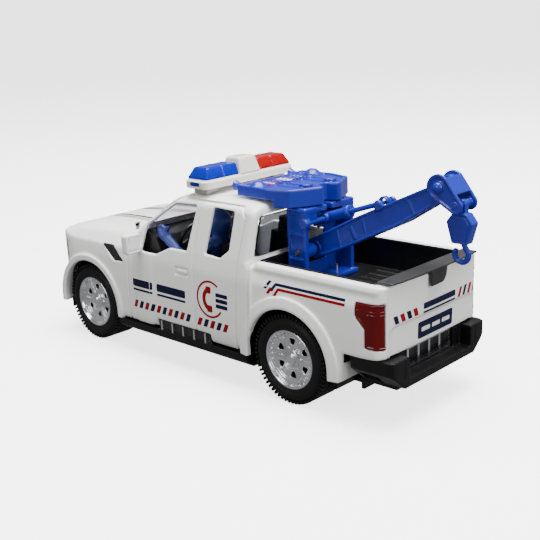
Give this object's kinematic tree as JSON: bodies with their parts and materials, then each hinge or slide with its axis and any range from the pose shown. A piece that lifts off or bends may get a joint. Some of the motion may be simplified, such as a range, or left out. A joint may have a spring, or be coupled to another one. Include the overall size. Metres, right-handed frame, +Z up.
{
  "type": "toy tow truck",
  "caption": "Toy tow truck: moulded pickup body with roof light bar, siren rack and friction drive, and a bed crane whose boom, ram, head and hook move.",
  "frame": {"origin": "on the ground, midway between the nose and the back of the hook and between the two sides", "axes": "+Z up, +Y from the nose towards the hook, +X the driver's side (left)"},
  "size_m": [0.1054, 0.2632, 0.1119],
  "materials": {
    "body_white": "gloss moulding with printed stripes",
    "chassis_black": "fine satin grain",
    "glazing": "clear moulding, faint grey tint",
    "interior_black": "satin",
    "figure_blue": "satin",
    "grille_black": "semi gloss",
    "lens_clear": "clear with a bright backing",
    "lens_ruby": "deep red, ribbed inside",
    "trim_bright": "vacuum plated plastic",
    "lightbar_ivory": "gloss",
    "lens_blue": "clear blue",
    "lens_red": "clear red",
    "board": "solder resist",
    "crane_blue": "semi gloss moulding",
    "steel": "bright",
    "tyre": "soft vinyl with a moulded tread",
    "rim_bright": "vacuum plated plastic, lightly worn",
    "gear_ivory": "natural acetal"
  },
  "bodies": {
    "truck": {"nose_shell": "body_white", "cab_shell": "body_white", "bed_shell": "body_white", "chassis": "chassis_black", "front_bumper": "chassis_black", "rear_bumper": "chassis_black", "bed_liner": "chassis_black", "tailgate_cap": "chassis_black", "windshield": "glazing", "rear_window": "glazing", "cab_interior": "interior_black", "steering_wheel": "interior_black", "driver": "figure_blue", "mirror_left": "body_white", "mirror_right": "body_white", "grille": "grille_black", "headlight_left": "lens_clear", "headlight_right": "lens_clear", "taillight_left": "lens_ruby", "taillight_right": "lens_ruby", "fender_vents": "grille_black", "hood_vents": "grille_black", "side_trims": "trim_bright", "rear_trim": "trim_bright", "lightbar_base": "lightbar_ivory", "lightbar_cover": "lightbar_ivory", "lens_blue": "lens_blue", "lens_red": "lens_red", "light_board": "board", "roof_rack": "crane_blue", "rack_domes": "crane_blue", "crane_column": "crane_blue", "boom_pin": "steel", "motor_case_left": "chassis_black", "motor_case_right": "chassis_black", "sound_module": "board", "button_cells": "steel", "battery_door": "chassis_black", "screws": "steel"},
    "front_wheels": {"tyre_front_left": "tyre", "tyre_front_right": "tyre", "rim_front_left": "rim_bright", "rim_front_right": "rim_bright", "front_axle": "steel"},
    "rear_wheels": {"tyre_rear_left": "tyre", "tyre_rear_right": "tyre", "rim_rear_left": "rim_bright", "rim_rear_right": "rim_bright", "rear_axle": "steel", "axle_gear": "gear_ivory"},
    "layshaft": {"layshaft": "gear_ivory"},
    "flywheel": {"flywheel": "steel"},
    "boom": {"boom": "crane_blue", "head_pin": "crane_blue"},
    "ram_tube": {"ram_tube": "crane_blue"},
    "ram_rod": {"ram_rod": "crane_blue"},
    "boom_head": {"boom_head": "crane_blue", "hook_pin": "crane_blue"},
    "tow_hook": {"tow_hook": "crane_blue"}
  },
  "joints": [
    {"name": "front_axle_roll", "type": "hinge", "parent": "truck", "child": "front_wheels", "pos_m": [0, -0.09763, 0.0225], "axis": [1, 0, 0], "continuous": true},
    {"name": "rear_axle_roll", "type": "hinge", "parent": "truck", "child": "rear_wheels", "pos_m": [0, 0.05637, 0.0225], "axis": [1, 0, 0], "continuous": true},
    {"name": "layshaft_spin", "type": "hinge", "parent": "truck", "child": "layshaft", "pos_m": [0, 0.04473, 0.02497], "axis": [1, 0, 0], "continuous": true},
    {"name": "flywheel_spin", "type": "hinge", "parent": "truck", "child": "flywheel", "pos_m": [0, 0.03359, 0.0238], "axis": [1, 0, 0], "continuous": true},
    {"name": "boom_lift", "type": "hinge", "parent": "truck", "child": "boom", "pos_m": [0, 0.04437, 0.0681], "axis": [1, 0, 0], "range_deg": [-14, 18]},
    {"name": "ram_swing", "type": "hinge", "parent": "truck", "child": "ram_tube", "pos_m": [0, 0.04887, 0.0834], "axis": [1, 0, 0], "range_deg": [-19, 24.2]},
    {"name": "ram_slide", "type": "slide", "parent": "ram_tube", "child": "ram_rod", "axis": [0, 0.9505, 0.3107], "range_m": [-0.00415, 0.0033]},
    {"name": "head_tilt", "type": "hinge", "parent": "boom", "child": "boom_head", "pos_m": [0, 0.11653, 0.10598], "axis": [1, 0, 0], "range_deg": [-20, 30]},
    {"name": "hook_swing", "type": "hinge", "parent": "boom_head", "child": "tow_hook", "pos_m": [0, 0.12493, 0.09858], "axis": [-1, 0, 0], "range_deg": [-45, 45]}
  ],
  "couplings": [
    {"joint": "layshaft_spin", "follows": "rear_axle_roll", "ratio": -2.4},
    {"joint": "flywheel_spin", "follows": "rear_axle_roll", "ratio": 5.28},
    {"joint": "ram_swing", "follows": "boom_lift", "ratio": 1.26},
    {"joint": "ram_slide", "follows": "boom_lift", "m_per_rad": -0.0123}
  ]
}
